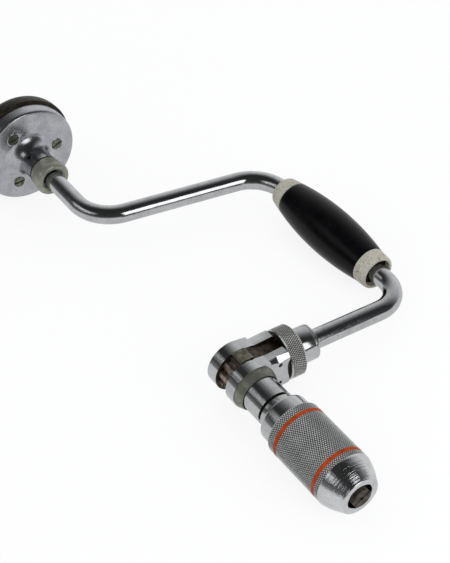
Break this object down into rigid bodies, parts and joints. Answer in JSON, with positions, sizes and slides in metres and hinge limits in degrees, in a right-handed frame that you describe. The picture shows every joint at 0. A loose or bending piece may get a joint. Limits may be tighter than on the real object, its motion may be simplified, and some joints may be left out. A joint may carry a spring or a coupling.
{
  "type": "ratchet hand brace",
  "caption": "Cranked hand brace with a bearing head, free-turning grip, reversible pawl ratchet with selector ring, and a screw-closed jaw chuck for bits.",
  "frame": {"origin": "centre of the bit socket at the chuck's mouth plane", "axes": "+X along the drilling axis and out of the chuck mouth, +Y from the drilling axis to the handle, +Z out of the plane of the crank"},
  "size_m": [0.4075, 0.1794, 0.0756],
  "materials": {
    "plated_rod": "worn bright plating",
    "plated_chuck": "worn bright plating",
    "housing_steel": "worn plating on machined steel",
    "knurled_steel": "diamond knurled and plated",
    "dull_grey_metal": "dull grey-green metal",
    "satin_plate": "satin plating",
    "screw_steel": "bright screw heads",
    "inner_steel": "plain steel",
    "worn_steel": "brown worn steel with polished edges",
    "jaw_steel": "dark forged steel",
    "brown_fibre": "brown fibre washer",
    "dark_head_wood": "dark polished hardwood",
    "black_grip_wood": "black lacquered hardwood",
    "aged_ivory": "aged ivory coloured ferrule",
    "orange_enamel": "worn orange enamel band"
  },
  "bodies": {
    "crank": {"crank_rod": "plated_rod", "ratchet_housing": "housing_steel", "thrust_cup": "dull_grey_metal", "arm_collar": "plated_rod", "arm_pin": "inner_steel", "pawl_pins": "inner_steel", "pawl_spring": "inner_steel", "detent_ball": "inner_steel", "detent_spring": "inner_steel", "neck_flange": "inner_steel"},
    "head": {"head_balls": "inner_steel", "head_collar": "dull_grey_metal", "head_washer": "brown_fibre", "head_plate": "satin_plate", "head_screws": "screw_steel", "head_dome": "dark_head_wood"},
    "grip": {"grip_barrel": "black_grip_wood", "grip_ferrule_front": "aged_ivory", "grip_ferrule_rear": "aged_ivory"},
    "chuck": {"chuck_spindle": "plated_chuck", "spindle_balls": "inner_steel", "ratchet_wheel": "worn_steel", "wheel_pin": "inner_steel", "spindle_washer": "inner_steel", "spindle_screw": "screw_steel", "jaw_spring": "inner_steel"},
    "selector": {"selector_ring": "knurled_steel"},
    "upper_pawl": {"pawl_upper": "worn_steel"},
    "lower_pawl": {"pawl_lower": "worn_steel"},
    "closing_ring": {"cone_ring": "inner_steel", "cone_balls": "inner_steel"},
    "sleeve": {"chuck_sleeve": "knurled_steel", "sleeve_band_front": "orange_enamel", "sleeve_band_rear": "orange_enamel", "cone_retainer": "inner_steel", "threaded_bush": "plated_chuck"},
    "upper_jaw": {"jaw_upper": "jaw_steel"},
    "lower_jaw": {"jaw_lower": "jaw_steel"}
  },
  "joints": [
    {"name": "head_spin", "type": "hinge", "parent": "crank", "child": "head", "pos_m": [-0.36, 0, 0], "axis": [1, 0, 0], "continuous": true},
    {"name": "grip_spin", "type": "hinge", "parent": "crank", "child": "grip", "pos_m": [-0.188, 0.125, 0], "axis": [1, 0, 0], "continuous": true},
    {"name": "chuck_spin", "type": "hinge", "parent": "crank", "child": "chuck", "pos_m": [-0.115, 0, 0], "axis": [1, 0, 0], "continuous": true},
    {"name": "selector_turn", "type": "hinge", "parent": "crank", "child": "selector", "pos_m": [-0.1167, 0, 0], "axis": [0.0591, 0.9983, 0], "range_deg": [-25, 25]},
    {"name": "pawl_upper_swing", "type": "hinge", "parent": "crank", "child": "upper_pawl", "pos_m": [-0.115, 0.0193, 0.0076], "axis": [1, 0, 0], "range_deg": [-3.6, 3.6]},
    {"name": "pawl_lower_swing", "type": "hinge", "parent": "crank", "child": "lower_pawl", "pos_m": [-0.115, 0.0193, -0.0076], "axis": [1, 0, 0], "range_deg": [-3.6, 3.6]},
    {"name": "sleeve_feed", "type": "slide", "parent": "chuck", "child": "closing_ring", "axis": [1, 0, 0], "range_m": [-0.00065, 0.0088]},
    {"name": "sleeve_turn", "type": "hinge", "parent": "closing_ring", "child": "sleeve", "pos_m": [-0.03, 0, 0], "axis": [1, 0, 0], "range_deg": [-90, 1260]},
    {"name": "jaw_upper_slide", "type": "slide", "parent": "chuck", "child": "upper_jaw", "axis": [0, -0.515, 0.8572], "range_m": [-0.0003, 0.0041]},
    {"name": "jaw_lower_slide", "type": "slide", "parent": "chuck", "child": "lower_jaw", "axis": [0, 0.515, -0.8572], "range_m": [-0.0003, 0.0041]}
  ],
  "couplings": [
    {"joint": "pawl_upper_swing", "follows": "selector_turn", "ratio": 0.1425},
    {"joint": "pawl_lower_swing", "follows": "selector_turn", "ratio": 0.1425},
    {"joint": "sleeve_feed", "follows": "sleeve_turn", "m_per_rad": 0.00039789},
    {"joint": "jaw_upper_slide", "follows": "sleeve_turn", "m_per_rad": 0.00018554},
    {"joint": "jaw_lower_slide", "follows": "sleeve_turn", "m_per_rad": 0.00018554}
  ]
}
